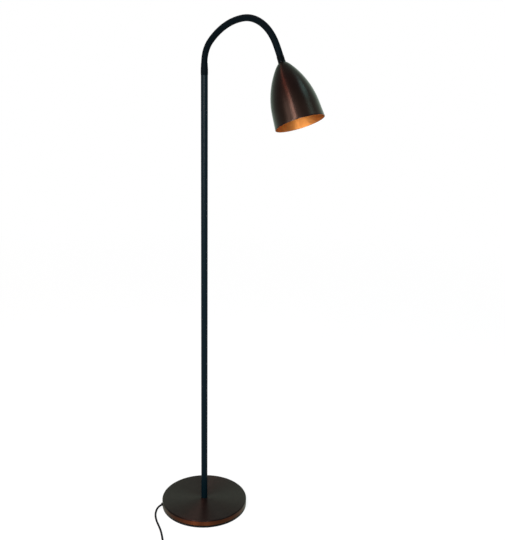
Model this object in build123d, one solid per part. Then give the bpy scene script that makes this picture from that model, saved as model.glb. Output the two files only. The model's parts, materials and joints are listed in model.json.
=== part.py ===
from build123d import *
import os
from math import asin, atan2, ceil, cos, degrees, pi, radians, sin, sqrt, tan

# Gooseneck reading floor lamp. Millimetres, +Z up. The origin is on the floor,
# at the centre of the round base, and the arm reaches out along +X.

# ---- Clearances
fit_gap = 0.05  # concentric pieces that are screwed or pressed together
skin_gap = 0.15  # a skin around what it covers
seat_gap = 0.2  # pieces that lie on each other without touching all over
ball_gap = 0.3  # between the ball and the cup of two neck links

# ---- Base
base_diameter = 219.0
base_height = 20.0
base_edge_radius = 3.0
cover_wall = 1.2
pad_thickness = 3.0
pad_inset = 0.4
weight_edge_radius = 2.0
weight_plate = 4.6  # iron left over the hollow underside
hollow_radius = 84.0
clamp_thread_radius = 5.0  # hollow threaded tube through the base
clamp_bore_radius = 3.5
clamp_tube_into_pole = 16.0
clamp_nut_across = 17.0
clamp_nut_height = 4.0
clamp_washer_radius = 14.0
clamp_washer_thickness = 1.5
joint_box_size = (14.0, 11.0, 8.0)
joint_box_gap = 0.1

# ---- Pole
pole_diameter = 16.0
pole_wall = 1.2
pole_top_z = 1104.0
bush_height = 18.0
collar_bottom_z = 1097.0
collar_top_z = 1123.0
collar_wall = 0.25
collar_lip_wall = 0.3

# ---- Gooseneck, as four arcs that follow each other from a straight start to a straight end
neck_start_z = 1123.0
neck_arc_lengths = (52.0, 119.0, 117.0, 27.0)
neck_arc_turns = (46.5, 37.0, 66.0, 5.0)
sleeve_radius = 7.1
sleeve_wall = 1.35
hose_wall = 3.0
lead_radius = 1.8
first_bend = 12.0  # from the start of the arcs to the first place that bends
last_bend = 26.0  # from the last place that bends to the shade
bend_count = 8
ferrule_height = 14.0
ferrule_radius = 6.9
ferrule_stub = 12.0
top_ferrule_radius = 7.6
top_ferrule_length = 12.0
top_stub = 9.0

# ---- Shade, a spun shell on the line of the gooseneck's end
shade_length = 131.0
shade_rim_radius = 52.0
shade_wall = 0.8
shade_lip_length = 31.0
shade_lip_angle = 4.5
shade_shoulder_radius = 15.0
shade_shoulder_depth = 9.5
shade_top_radius = 6.6

# ---- Lamp holder and bulb
holder_radius = 14.0
holder_wall = 2.0
holder_boss_radius = 6.9
holder_boss_length = 8.0
holder_cap_length = 20.0
holder_length = 49.0
lamp_washer_thickness = 0.8
lamp_washer_radius = 6.0
thread_shell_radius = 7.9
thread_shell_wall = 0.5
thread_shell_length = 20.0
bulb_radius = 22.5
bulb_length = 55.0  # glass that stands out of the holder
bulb_neck_radius = 7.2
bulb_neck_angle = 42.0  # where the neck runs into the globe, from the bulb's axis
glass_wall = 0.8

# ---- Mains cord, route chosen by hand from the hollow base to the switch
cord_diameter = 5.0
exit_x = -61.0
exit_z = 7.4
grommet_radius = 4.2
grommet_length = 12.0
grommet_proud = 1.5
notch_radius = 4.4
cord_route = [
    (-36.0, -21.0, 6.4),
    (-47.2, -27.5, 6.6),
    (-55.6, -40.5, 7.0),
    (-60.0, -56.5, 7.3),
    (-61.0, -72.0, 7.4),
    (-61.0, -98.0, 7.4),
    (-58.6, -109.5, 4.6),
    (-51.8, -119.0, 2.6),
    (-41.5, -128.5, 2.5),
    (-28.5, -137.0, 2.5),
    (-14.0, -144.6, 2.5),
    (3.0, -151.4, 2.5),
    (21.0, -159.2, 2.5),
    (39.0, -169.0, 2.5),
    (55.5, -179.4, 2.8),
    (69.0, -187.4, 4.4),
    (81.0, -191.8, 6.6),
    (92.7, -194.3, 7.5),
]
switch_length = 58.0
switch_width = 24.0
switch_height = 15.0
switch_heading = -12.0
switch_wall = 1.8
relief_length = 20.0
rocker_length = 17.0
rocker_width = 9.0
rocker_tilt = 9.0
pivot_radius = 1.4

# ---- Coil of the cord that is put away
coil_centre = (233.5, -182.6)
coil_outer_radius = 34.0
coil_gap = 0.55
coil_layers = 4
coil_layer_turns = 1.875

# ---- Plug with two round pins
plug_length = 34.0
plug_width = 30.0
plug_height = 13.0
pin_radius = 2.0
pin_length = 19.0
pin_root_radius = 1.7
pin_root_length = 8.0  # sunk in the plug's body
pin_spacing = 19.0
plug_relief_length = 22.0

# ---- Sizes that follow from those above
base_radius = base_diameter / 2
pole_radius = pole_diameter / 2
cord_radius = cord_diameter / 2
hose_radius = sleeve_radius - sleeve_wall - skin_gap
hose_bore = hose_radius - hose_wall
neck_length = sum(neck_arc_lengths) + top_ferrule_length
bend_spacing = (neck_length - first_bend - last_bend) / (bend_count - 1)
bends = [first_bend + i * bend_spacing for i in range(bend_count)]
weight_top = base_height - cover_wall - seat_gap
hollow_top = weight_top - weight_plate
ferrule_top_z = pole_top_z + ferrule_height

os.makedirs("parts", exist_ok=True)
written = []


def keep(name, shape):
    """Write one piece to its own file."""
    solids = shape.solids()
    piece = Compound(children=list(solids)) if len(solids) > 1 else solids[0]
    export_step(piece, f"parts/{name}.step")
    written.append(name)


def ring(outer, inner, bottom, top):
    """Upright tube about the Z axis."""
    body = Cylinder(outer, top - bottom, align=(Align.CENTER, Align.CENTER, Align.MIN))
    if inner > 0:
        body -= Cylinder(inner, top - bottom, align=(Align.CENTER, Align.CENTER, Align.MIN))
    return Pos(0, 0, bottom) * body


def turned(points):
    """Solid of revolution about the Z axis from a closed outline of (radius, height)."""
    outline = Polyline(*[(r, 0, z) for r, z in points], close=True)
    return revolve(make_face(outline), axis=Axis.Z)


# ---- Base


def base_cover():
    """Pressed cap with a rounded edge, a hole for the clamp tube and a notch for the cord."""
    inner = base_radius - cover_wall
    cap = ring(base_radius, 0, pad_thickness, base_height)
    cap = fillet(cap.edges().group_by(Axis.Z)[-1], base_edge_radius)
    room = ring(inner, 0, pad_thickness, base_height - cover_wall)
    room = fillet(room.edges().group_by(Axis.Z)[-1], base_edge_radius - cover_wall)
    hole = ring(clamp_thread_radius + fit_gap, 0, 0, base_height + 1)
    return cap - room - hole - cord_channel(notch_radius)


def cord_channel(radius):
    """Way out for the cord along -Y, round at the top and open at the bottom."""
    start = -base_radius * 0.45
    length = base_radius * 1.1 + start
    tunnel = Pos(exit_x, start, exit_z) * Rot(90, 0, 0) * Cylinder(
        radius, length, align=(Align.CENTER, Align.CENTER, Align.MIN)
    )
    slot = Pos(exit_x, start - length / 2, exit_z / 2) * Box(2 * radius, length, exit_z)
    return tunnel + slot


def base_weight():
    """Cast iron disc with a hollow underside."""
    radius = base_radius - cover_wall - seat_gap
    disc = ring(radius, clamp_thread_radius + fit_gap, pad_thickness, weight_top)
    disc = fillet(disc.edges().group_by(Axis.Z)[-1].sort_by(SortBy.LENGTH)[-1], weight_edge_radius)
    hollow = ring(hollow_radius, 0, 0, hollow_top)
    return disc - hollow - cord_channel(notch_radius + seat_gap)


def base_pad():
    """Rubber disc under the base, thick enough to lift the cover off the floor."""
    pad = ring(base_radius - pad_inset, 0, 0, pad_thickness)
    return chamfer(pad.edges().group_by(Axis.Z)[0], 0.6)


def clamp_nut():
    top = hollow_top - clamp_washer_thickness
    hexagon = RegularPolygon(clamp_nut_across / 2, 6, major_radius=False)
    nut = Pos(0, 0, top - clamp_nut_height) * extrude(hexagon, clamp_nut_height)
    return nut - ring(clamp_thread_radius + fit_gap, 0, 0, base_height)


clamp_tube_bottom = hollow_top - clamp_washer_thickness - clamp_nut_height - 0.2

keep("base_cover", base_cover())
keep("base_weight", base_weight())
keep("base_pad", base_pad())
keep("base_nut", clamp_nut())
keep(
    "base_washer",
    ring(clamp_washer_radius, clamp_thread_radius + fit_gap, hollow_top - clamp_washer_thickness, hollow_top),
)
keep(
    "base_threaded_tube",
    ring(clamp_thread_radius, clamp_bore_radius, clamp_tube_bottom, base_height + clamp_tube_into_pole),
)

# ---- Pole


def collar():
    """Shrunk-on sleeve over the joint of pole and gooseneck, narrower at the top."""
    shoulder = pole_top_z + 1.5
    low = pole_radius + fit_gap
    high = sleeve_radius + skin_gap
    return turned(
        [
            (low, collar_bottom_z),
            (low + collar_wall, collar_bottom_z),
            (low + collar_wall, shoulder),
            (high + collar_lip_wall, collar_top_z),
            (high, collar_top_z),
            (high, shoulder + 4),
            (low, shoulder),
        ]
    )


def neck_ferrule():
    """End fitting of the gooseneck, screwed into the bush at the pole's top."""
    body = ring(ferrule_radius, hose_radius + fit_gap, pole_top_z + 3, ferrule_top_z)
    body += ring(ferrule_radius, hose_bore, pole_top_z, pole_top_z + 3)
    return body + ring(clamp_thread_radius, hose_bore, pole_top_z - ferrule_stub, pole_top_z)


bush_radius = pole_radius - pole_wall - fit_gap
keep("pole", ring(pole_radius, pole_radius - pole_wall, base_height, pole_top_z))
keep("pole_foot_bush", ring(bush_radius, clamp_thread_radius + fit_gap, base_height, base_height + bush_height))
keep("pole_head_bush", ring(bush_radius, clamp_thread_radius + fit_gap, pole_top_z - bush_height, pole_top_z))
keep("pole_collar", collar())
keep("neck_foot_ferrule", neck_ferrule())

# ---- Gooseneck


def neck_at(s):
    """Point of the neck's centreline at the distance s from its start, and its heading in
    radians from straight up towards +X. Beyond either end the line runs straight on."""
    x, z, heading = 0.0, neck_start_z, 0.0
    if s < 0:
        return Vector(x, 0, z + s), heading
    for length, turn in zip(neck_arc_lengths, neck_arc_turns):
        run = min(s, length)
        rate = radians(turn) / length
        ahead = heading + rate * run
        x += (cos(heading) - cos(ahead)) / rate
        z += (sin(ahead) - sin(heading)) / rate
        heading = ahead
        s -= run
    return Vector(x + s * sin(heading), 0, z + s * cos(heading)), heading


def along(heading):
    return Vector(sin(heading), 0, cos(heading))


def neck_plane(s):
    """Plane square to the neck at the distance s, with its Z axis along the neck."""
    point, heading = neck_at(s)
    return Plane(origin=point, x_dir=(0, 1, 0), z_dir=along(heading))


def neck_stretch(start, end, outer, inner):
    """Bent tube from start to end along the neck's centreline."""
    marks = [0.0]
    for length in neck_arc_lengths:
        marks.append(marks[-1] + length)
    stops = [start] + [m for m in marks if start < m < end] + [end]
    edges = []
    for a, b in zip(stops, stops[1:]):
        (p, h), (q, k) = neck_at(a), neck_at(b)
        straight = abs(k - h) < 1e-9
        edges.append(Edge.make_line(p, q) if straight else Edge.make_tangent_arc(p, along(h), q))
    section = Circle(outer) - Circle(inner) if inner > 0 else Circle(outer)
    return sweep(neck_plane(start) * section, path=Wire(edges))


def ball_tip(s, outer, inner):
    """What a tube has beyond a bend: the part of the ball that its wall takes up."""
    wide, narrow = asin(outer / sleeve_radius), asin(inner / sleeve_radius)
    corners = [(sleeve_radius * sin(a), 0, sleeve_radius * cos(a)) for a in (wide, (wide + narrow) / 2, narrow)]
    outline = [Edge.make_three_point_arc(*corners), Edge.make_line(corners[2], (inner, 0, 0))]
    outline.append(Edge.make_line((inner, 0, 0), (outer, 0, 0)))
    if outer < sleeve_radius:
        outline.append(Edge.make_line((outer, 0, 0), corners[0]))
    return neck_plane(s).location * revolve(make_face(Wire(outline)), axis=Axis.Z)


def neck_piece(start, end, outer, inner):
    """Length of tube between two bends: a cup at its start and a ball at its end. A start or
    end that is no bend is cut square."""
    body = neck_stretch(start, end, outer, inner)
    if start in bends:
        body -= neck_plane(start).location * Sphere(sleeve_radius + ball_gap)
    if end in bends:
        body += ball_tip(end, outer, inner)
    return body


sleeve_bore = sleeve_radius - sleeve_wall
foot_start = ferrule_top_z - neck_start_z
foot_hose_start = pole_top_z + 3.2 - neck_start_z
top_ferrule_start = neck_length - top_ferrule_length
keep("neck_sleeve_0", neck_piece(foot_start, bends[0], sleeve_radius, sleeve_bore))
keep("neck_hose_0", neck_piece(foot_hose_start, bends[0], hose_radius, hose_bore))
for i, (start, end) in enumerate(zip(bends, bends[1:]), 1):
    keep(f"neck_sleeve_{i}", neck_piece(start, end, sleeve_radius, sleeve_bore))
    keep(f"neck_hose_{i}", neck_piece(start, end, hose_radius, hose_bore))
    keep(f"neck_lead_{i}", neck_piece(start, end, lead_radius, 0))
keep(f"neck_sleeve_{bend_count}", neck_piece(bends[-1], top_ferrule_start, sleeve_radius, sleeve_bore))
keep(f"neck_hose_{bend_count}", neck_piece(bends[-1], neck_length - 3.2, hose_radius, hose_bore))

# ---- Lead inside the pole


def joint_box_line():
    """Heading of the terminal box in the base, from the middle of the base to the inner end of
    the cord, and the distance of that end."""
    end = Vector(cord_route[0][0], cord_route[0][1], 0)
    return end.normalized(), end.length


def joint_box():
    """Small terminal box that joins the cord to the lead in the pole."""
    heading, distance = joint_box_line()
    length, width, height = joint_box_size
    middle = heading * (distance - joint_box_gap - length / 2)
    box = fillet(Box(length, width, height).edges().filter_by(Axis.Z), 1.5)
    rise = pad_thickness + seat_gap + height / 2
    return Pos(middle.X, middle.Y, rise) * Rot(0, 0, degrees(atan2(heading.Y, heading.X))) * box


def pole_lead():
    """Lead from the terminal box, up the pole, to the first bend of the neck."""
    heading, distance = joint_box_line()
    level = pad_thickness + lead_radius + seat_gap
    start = heading * (distance - 2 * joint_box_gap - joint_box_size[0]) + Vector(0, 0, level)
    route = FilletPolyline(start, (0, 0, level), (0, 0, pole_top_z), radius=lead_radius * 2).wire()
    lower = sweep(Plane(origin=start, z_dir=-heading) * Circle(lead_radius), path=route)
    upper = neck_stretch(pole_top_z - neck_start_z, bends[0], lead_radius, 0)
    return lower + upper + ball_tip(bends[0], lead_radius, 0)


keep("base_joint_box", joint_box())
keep("pole_lead", pole_lead())

# ---- Head: everything here is turned about its own axis, which starts at the shade's top and
# points out of its mouth, and is then placed at the end of the neck

head_point, head_heading = neck_at(neck_length)
head_place = Plane(origin=head_point, x_dir=(0, 1, 0), z_dir=along(head_heading)).location


def shade_outline():
    """Outer line of the shade in (radius, depth), from the edge of its flat top to the rim."""
    lip_top = shade_length - shade_lip_length
    lip_radius = shade_rim_radius - shade_lip_length * tan(radians(shade_lip_angle))
    back = (-sin(radians(shade_lip_angle)), 0, -cos(radians(shade_lip_angle)))
    lip = Edge.make_line((shade_rim_radius, 0, shade_length), (lip_radius, 0, lip_top))
    shoulder = (shade_shoulder_radius, 0, shade_shoulder_depth)
    bell = Edge.make_tangent_arc((lip_radius, 0, lip_top), back, shoulder)
    cone = Edge.make_line(shoulder, (shade_top_radius, 0, 0))
    return Wire([lip, bell, cone])


def shade():
    """Thin bell with a hole at its top for the stub of the gooseneck's ferrule."""
    outer = shade_outline()
    inner_radius = clamp_thread_radius + fit_gap
    filled = make_face(
        Wire(
            outer.edges()
            + [
                Edge.make_line((shade_top_radius, 0, 0), (0, 0, 0)),
                Edge.make_line((0, 0, 0), (0, 0, shade_length)),
                Edge.make_line((0, 0, shade_length), (shade_rim_radius, 0, shade_length)),
            ]
        )
    )
    bell = revolve(filled, axis=Axis.Z)
    mouth = bell.faces().sort_by(Axis.Z)[-1]
    shell = offset(bell, amount=-shade_wall, openings=mouth)
    return shell - ring(inner_radius, 0, -1, shade_wall * 4)


def holder_cap():
    """Cap of the lamp holder, which screws onto the stub and clamps the shade."""
    start = shade_wall + lamp_washer_thickness + seat_gap
    end = start + holder_cap_length
    boss_end = start + holder_boss_length
    bore = clamp_thread_radius + fit_gap
    cap = turned(
        [
            (bore, start),
            (holder_boss_radius, start),
            (holder_boss_radius, boss_end),
            (holder_radius - 2.5, boss_end + 3.5),
            (holder_radius, boss_end + 7.5),
            (holder_radius, end),
            (holder_radius - holder_wall, end),
            (holder_radius - holder_wall, boss_end + 8.5),
            (bore + 1.5, boss_end + 3),
            (bore, boss_end + 3),
        ]
    )
    return cap


holder_start = shade_wall + lamp_washer_thickness + seat_gap + holder_cap_length
holder_floor = holder_start + 6.0


def holder_body():
    """Lower half of the lamp holder, a cup with a floor that the contacts stand on."""
    end = holder_start + holder_length - holder_cap_length
    cup = ring(holder_radius, thread_shell_radius + fit_gap, holder_floor, end)
    cup += ring(holder_radius, 0, holder_floor - 2, holder_floor)
    cup += ring(holder_radius, holder_radius - holder_wall, holder_start, holder_floor - 2)
    return fillet(cup.edges().group_by(Axis.Z)[-1].sort_by(SortBy.LENGTH)[-1], 0.8)


holder_end = holder_start + holder_length - holder_cap_length


def bulb_cap():
    """Metal screw cap of the bulb with its contact button."""
    top = holder_floor + 1.6
    radius = thread_shell_radius - thread_shell_wall - 0.1
    cap = ring(radius, 0, top + 2, holder_end + 0.4)
    return cap + ring(2.2, 0, top, top + 2)


def bulb_form(inset):
    """Globe with a neck that widens into it, as a solid this far inside the bulb's skin."""
    start = holder_end + 0.5
    middle = start + bulb_length - bulb_radius
    radius = bulb_radius - inset
    neck_top = (bulb_neck_radius - inset, 0, start)
    meet_angle = radians(bulb_neck_angle)
    meet = (radius * sin(meet_angle), 0, middle - radius * cos(meet_angle))
    side = (radius, 0, middle)
    tip = (0, 0, middle + radius)
    outline = [
        Edge.make_line((0, 0, start), neck_top),
        Edge.make_tangent_arc(neck_top, (0, 0, 1), meet),
        Edge.make_three_point_arc(meet, side, tip),
        Edge.make_line(tip, (0, 0, start)),
    ]
    return revolve(make_face(Wire(outline)), axis=Axis.Z)


def bulb_glass():
    return bulb_form(0) - bulb_form(glass_wall)


def top_ferrule():
    """Upper end fitting of the gooseneck, with the stub that carries shade and lamp holder."""
    body = ring(top_ferrule_radius, hose_radius + fit_gap, -top_ferrule_length, -3)
    body += ring(top_ferrule_radius, hose_bore, -3, -seat_gap / 2)
    body += ring(clamp_thread_radius, hose_bore, -seat_gap / 2, top_stub)
    return chamfer(body.edges().group_by(Axis.Z)[0].sort_by(SortBy.LENGTH)[-1], 0.6)


shell_start = holder_floor + 0.2
keep("neck_head_ferrule", head_place * top_ferrule())
keep("shade", head_place * shade())
keep(
    "holder_washer",
    head_place
    * ring(
        lamp_washer_radius,
        clamp_thread_radius + fit_gap,
        shade_wall + seat_gap / 2,
        shade_wall + seat_gap / 2 + lamp_washer_thickness,
    ),
)
keep("holder_cap", head_place * holder_cap())
keep("holder_body", head_place * holder_body())
keep(
    "holder_thread_shell",
    head_place
    * ring(
        thread_shell_radius, thread_shell_radius - thread_shell_wall, shell_start, shell_start + thread_shell_length
    ),
)
keep("holder_contact", head_place * ring(3.0, 0, holder_floor + 0.1, holder_floor + 1.5))
keep("bulb_cap", head_place * bulb_cap())
keep("bulb_glass", head_place * bulb_glass())

# ---- Cord


def corner_radii(points):
    """Radius of each corner of a route: 0.45 of the shorter run over the tangent of half the turn."""
    corners = [Vector(*p) for p in points]
    radii = []
    for before, here, after in zip(corners, corners[1:], corners[2:]):
        shorter = min((here - before).length, (after - here).length)
        turn = (here - before).get_angle(after - here)
        radii.append(0.45 * shorter / tan(radians(turn) / 2))
    return radii


def cord_tube(name, points):
    """Round tube along straight runs and tangent arcs, with its radii and volume printed."""
    radii = corner_radii(points)
    route = FilletPolyline(*points, radius=radii).wire()
    ahead = Vector(*points[1]) - Vector(*points[0])
    tube = sweep(Plane(origin=points[0], z_dir=ahead) * Circle(cord_radius), path=route)
    expected = pi * cord_radius**2 * route.length
    print(name, "length", round(route.length, 1), "least radius", round(min(radii), 1))
    print(name, "radii", [round(r) for r in radii], "volume ratio", round(tube.volume / expected, 4))
    return tube


def placed(heading, x, y, z=0.0):
    return Pos(x, y, z) * Rot(0, 0, heading)


inner_end = Vector(*cord_route[-1])
switch_ahead = Vector(cos(radians(switch_heading)), sin(radians(switch_heading)), 0)
relief_step = switch_ahead * (relief_length + 0.1)
switch_back = Vector(inner_end.X, inner_end.Y, 0) + relief_step
switch_middle = switch_back + switch_ahead * (switch_length / 2)
switch_place = placed(switch_heading, switch_middle.X, switch_middle.Y)
switch_front = switch_back + switch_ahead * switch_length
cord_level = inner_end.Z


def cord_grommet():
    """Rubber ring around the cord in the notch of the base."""
    rim_y = -sqrt(base_radius**2 - exit_x**2)
    tube = ring(grommet_radius, cord_radius + skin_gap, 0, grommet_length)
    return Pos(exit_x, rim_y - grommet_proud + grommet_length, exit_z) * Rot(90, 0, 0) * tube


# ---- Switch in the cord: two shells, a rocker on its pin, and a tapered relief at either end


def switch_outline(shrink=0.0):
    """Outline of the switch from above: a rounded bar."""
    length = switch_length - 2 * shrink
    width = switch_width - 2 * shrink
    return RectangleRounded(length, width, width * 0.32)


switch_split = cord_level
rocker_room = 0.3
pivot_z = switch_height - 4.3
rocker_rise = switch_height - pivot_z + 1.4
rocker_tip = (rocker_length / 2) * cos(radians(rocker_tilt))
rocker_reach = rocker_tip + rocker_rise * sin(radians(rocker_tilt))


def switch_base():
    shell = extrude(switch_outline(), switch_split - seat_gap / 2)
    shell = fillet(shell.edges().group_by(Axis.Z)[0], 1.2)
    room = Pos(0, 0, switch_wall) * extrude(switch_outline(switch_wall), switch_split)
    return shell - room - switch_mouths()


def switch_mouths():
    """Round holes for the cord at both ends."""
    bar = Rot(0, 90, 0) * Cylinder(cord_radius + skin_gap, switch_length + 10)
    return Pos(0, 0, cord_level) * bar


def switch_top():
    height = switch_height - switch_split
    shell = extrude(switch_outline(), height)
    shell = fillet(shell.edges().group_by(Axis.Z)[-1], 2.0)
    room = Pos(0, 0, -switch_wall) * extrude(switch_outline(switch_wall), height)
    shell = Pos(0, 0, switch_split) * (shell - room)
    window = Box(2 * (rocker_reach + rocker_room), rocker_width + 2 * rocker_room, switch_height)
    shell = shell - Pos(0, 0, switch_height) * window
    ears = Pos(0, 0, pivot_z) * Box(6, rocker_width + 2 * rocker_room + 3, 5)
    ears -= Pos(0, 0, pivot_z) * Box(7, rocker_width + 2 * rocker_room, 6)
    pin_hole = Pos(0, 0, pivot_z) * Rot(90, 0, 0) * Cylinder(pivot_radius + fit_gap, switch_width)
    return shell + ears - pin_hole - switch_mouths()


def rocker():
    """Rocker that stands tilted to its off side, with two flats on top that meet at the middle."""
    half = rocker_length / 2
    dip = half * tan(radians(rocker_tilt)) * 0.6
    outline = Polyline(
        (-half, 0, rocker_rise),
        (0, 0, rocker_rise - dip),
        (half, 0, rocker_rise),
        (half * 0.72, 0, -1.6),
        (-half * 0.72, 0, -1.6),
        close=True,
    )
    bar = extrude(make_face(outline), rocker_width / 2, both=True, dir=(0, 1, 0))
    bar += Rot(90, 0, 0) * Cylinder(pivot_radius, rocker_width + 2 * rocker_room + 2.6)
    return Pos(0, 0, pivot_z) * Rot(0, rocker_tilt, 0) * bar


def relief(length, thick):
    """Tapered cord relief along +X, thick end at the start."""
    cone = Cone(thick, cord_radius + 0.7, length, align=(Align.CENTER, Align.CENTER, Align.MIN))
    cone -= Cylinder(cord_radius + skin_gap, length, align=(Align.CENTER, Align.CENTER, Align.MIN))
    return Rot(0, 90, 0) * cone


def switch_reliefs():
    thick = cord_radius + 2.2
    front = Pos(switch_length / 2 + 0.1, 0, cord_level) * relief(relief_length, thick)
    rear = Rot(0, 0, 180) * (Pos(switch_length / 2 + 0.1, 0, cord_level) * relief(relief_length, thick))
    return front + rear


# ---- Coil: flat spirals, in and out again, each layer one cord above the last


def coil_state(turns):
    """Radius and height of the coil's centreline after so many turns. The radius falls and
    rises at a steady rate, and the height climbs in the half turn where it reverses."""
    pitch = cord_diameter + coil_gap
    period = coil_layer_turns + 0.5
    half_travel = coil_layer_turns + 0.25
    if turns <= half_travel:
        inward = turns
        layer = 0
    else:
        layer = int((turns - half_travel) // period) + 1
        since = turns - half_travel - (layer - 1) * period
        inward = half_travel - since if layer % 2 else half_travel - period + since
    radius = coil_outer_radius - pitch * inward
    height = cord_radius
    for k in range(coil_layers - 1):
        start = coil_layer_turns + k * period
        share = min(max((turns - start) / 0.5, 0), 1)
        height += pitch * (1 - cos(pi * share)) / 2
    return radius, height


def coil_point(turns):
    """Point of the coil's centreline, which starts at the side nearest the viewer."""
    radius, height = coil_state(turns)
    angle = 2 * pi * turns - pi / 2
    x, y = coil_centre
    return Vector(x + radius * cos(angle), y + radius * sin(angle), height)


def coil_direction(turns, last):
    """Direction of travel, level at both ends of the coil so that it meets them square."""
    step = 0.002
    if turns < step or turns > last - step:
        angle = 2 * pi * turns
        return Vector(cos(angle), sin(angle), 0)
    return (coil_point(turns + step) - coil_point(turns - step)).normalized()


def biarc(p, t, q, u):
    """Two arcs that leave p along t and reach q along u."""
    v = q - p
    w = t + u
    a = 2 * (1 - t.dot(u))
    b = v.dot(w)
    reach = (-b + sqrt(b * b + a * v.dot(v))) / a if a > 1e-9 else v.dot(v) / (4 * v.dot(t))
    middle = (p + q + (t - u) * reach) * 0.5
    first = Edge.make_tangent_arc(p, t, middle)
    second = Edge.make_tangent_arc(q, u * -1, middle)
    return [first, Edge.make_three_point_arc(middle, second @ 0.5, q)]


coil_turns = coil_layers * coil_layer_turns + (coil_layers - 1) * 0.5


def coil():
    """The put-away cord, one unbroken tube with a straight diameter at either end."""
    steps = round(coil_turns * 4)
    stops = [coil_turns * i / steps for i in range(steps + 1)]
    places = [(coil_point(s), coil_direction(s, coil_turns)) for s in stops]
    lead_in = places[0][0] - places[0][1] * cord_diameter
    lead_out = places[-1][0] + places[-1][1] * cord_diameter
    edges = [Edge.make_line(lead_in, places[0][0])]
    for (p, t), (q, u) in zip(places, places[1:]):
        edges += biarc(p, t, q, u)
    edges.append(Edge.make_line(places[-1][0], lead_out))
    route = Wire(edges)
    tube = sweep(Plane(origin=lead_in, z_dir=places[0][1]) * Circle(cord_radius), path=route)
    print("coil turns", coil_turns, "length", round(route.length, 1))
    print("coil volume ratio", round(tube.volume / (pi * cord_radius**2 * route.length), 4))
    print("coil least gap to itself", round(least_self_gap(route), 3))
    return tube


def least_self_gap(route):
    """Least distance between stretches of the coil that aren't neighbours along it, less one
    cord diameter."""
    count = ceil(route.length / 3)
    points = [route @ (i / count) for i in range(count + 1)]
    apart = ceil(12 * cord_diameter / 3)
    least = min((points[i] - points[j]).length for i in range(count + 1) for j in range(i + apart, count + 1))
    return least - cord_diameter


coil_start = coil_point(0) - Vector(cord_diameter, 0, 0)
coil_end = coil_point(coil_turns) + Vector(cord_diameter, 0, 0)
switch_out = switch_front + relief_step
link_route = [
    (switch_out.X, switch_out.Y, cord_level),
    (switch_out.X + 9.0, switch_out.Y - 1.9, 6.8),
    (switch_out.X + 18.5, switch_out.Y - 3.3, 4.4),
    (coil_start.X - 8.0, coil_start.Y, coil_start.Z),
    (coil_start.X, coil_start.Y, coil_start.Z),
]
tail_route = [
    (coil_end.X, coil_end.Y, coil_end.Z),
    (coil_end.X + 10.0, coil_end.Y, coil_end.Z),
    (coil_end.X + 23.0, coil_end.Y + 1.0, coil_end.Z - 4.0),
    (coil_end.X + 36.0, coil_end.Y + 2.6, coil_end.Z - 9.6),
    (coil_end.X + 48.0, coil_end.Y + 4.6, plug_height / 2),
    (coil_end.X + 58.0, coil_end.Y + 6.6, plug_height / 2),
]

# ---- Plug, flat with two round pins, which lies on the floor beyond the coil

tail_end = Vector(*tail_route[-1])
plug_heading = degrees(atan2(tail_route[-1][1] - tail_route[-2][1], tail_route[-1][0] - tail_route[-2][0]))
plug_place = placed(plug_heading, tail_end.X, tail_end.Y)
plug_back = plug_relief_length + 0.1


def plug_body():
    """Flat body that narrows towards the cord."""
    back_width = plug_width * 0.5
    outline = Polyline(
        (0, -back_width / 2),
        (plug_length * 0.45, -plug_width / 2),
        (plug_length, -plug_width / 2),
        (plug_length, plug_width / 2),
        (plug_length * 0.45, plug_width / 2),
        (0, back_width / 2),
        close=True,
    )
    face = fillet(make_face(outline).vertices(), 3.0)
    body = extrude(face, plug_height)
    body = fillet(body.edges().group_by(Axis.Z)[-1] + body.edges().group_by(Axis.Z)[0], 1.5)
    return Pos(plug_back, 0, 0) * body - at_pins(ring(pin_root_radius + fit_gap, 0, -pin_root_length, 0))


def plug_pins():
    """Two round pins with thinner roots, which are sunk in the plug's face."""
    pin = ring(pin_radius, 0, 0, pin_length)
    pin = fillet(pin.edges().group_by(Axis.Z)[-1], pin_radius / 2)
    return at_pins(pin + ring(pin_root_radius, 0, -pin_root_length, 0))


def at_pins(upright):
    """The same shape at both pins, with its +Z turned to point out of the plug's face."""
    face = plug_back + plug_length
    return Part() + [Pos(face, side * pin_spacing / 2, plug_height / 2) * Rot(0, 90, 0) * upright for side in (-1, 1)]


def plug_relief():
    """Tapered relief between the cord and the plug, thick at the plug."""
    thick = cord_radius + 2.6
    return Pos(plug_relief_length, 0, plug_height / 2) * Rot(0, 0, 180) * relief(plug_relief_length, thick)


keep("cord_grommet", cord_grommet())
keep("cord_lead", cord_tube("cord_lead", cord_route))
keep("cord_link", cord_tube("cord_link", link_route))
keep("cord_coil", coil())
keep("cord_tail", cord_tube("cord_tail", tail_route))
keep("switch_base", switch_place * switch_base())
keep("switch_top", switch_place * switch_top())
keep("switch_rocker", switch_place * rocker())
keep("switch_reliefs", switch_place * switch_reliefs())
keep("plug_body", plug_place * plug_body())
keep("plug_pins", plug_place * plug_pins())
keep("plug_relief", plug_place * plug_relief())

print("pieces", len(written))
print("head at", [round(v, 2) for v in head_point], "heading", round(degrees(head_heading), 2))
for i, s in enumerate(bends, 1):
    point, heading = neck_at(s)
    print("bend", i, [round(v, 3) for v in point], "heading", round(degrees(heading), 3))
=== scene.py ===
# %% [markdown]
# # A gooseneck reading floor lamp
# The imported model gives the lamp's bodies, joints and plain solids. This lesson dresses it:
# it keeps the small hidden pieces, makes new surfaces for what the eye rests on (base, pole,
# gooseneck, shade, cord), and gives every piece a finish worked out from real sizes.
# Everything is in metres, in the model's own frame: the floor is z = 0 and the arm reaches
# out along +X. Sizes of pieces are written in millimetres and multiplied by MM where they are
# made. Camera and lamps are placed in metres.

# %% Load the frame
import bpy
import json
import math
import numpy as np
from mathutils import Matrix, Vector


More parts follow.
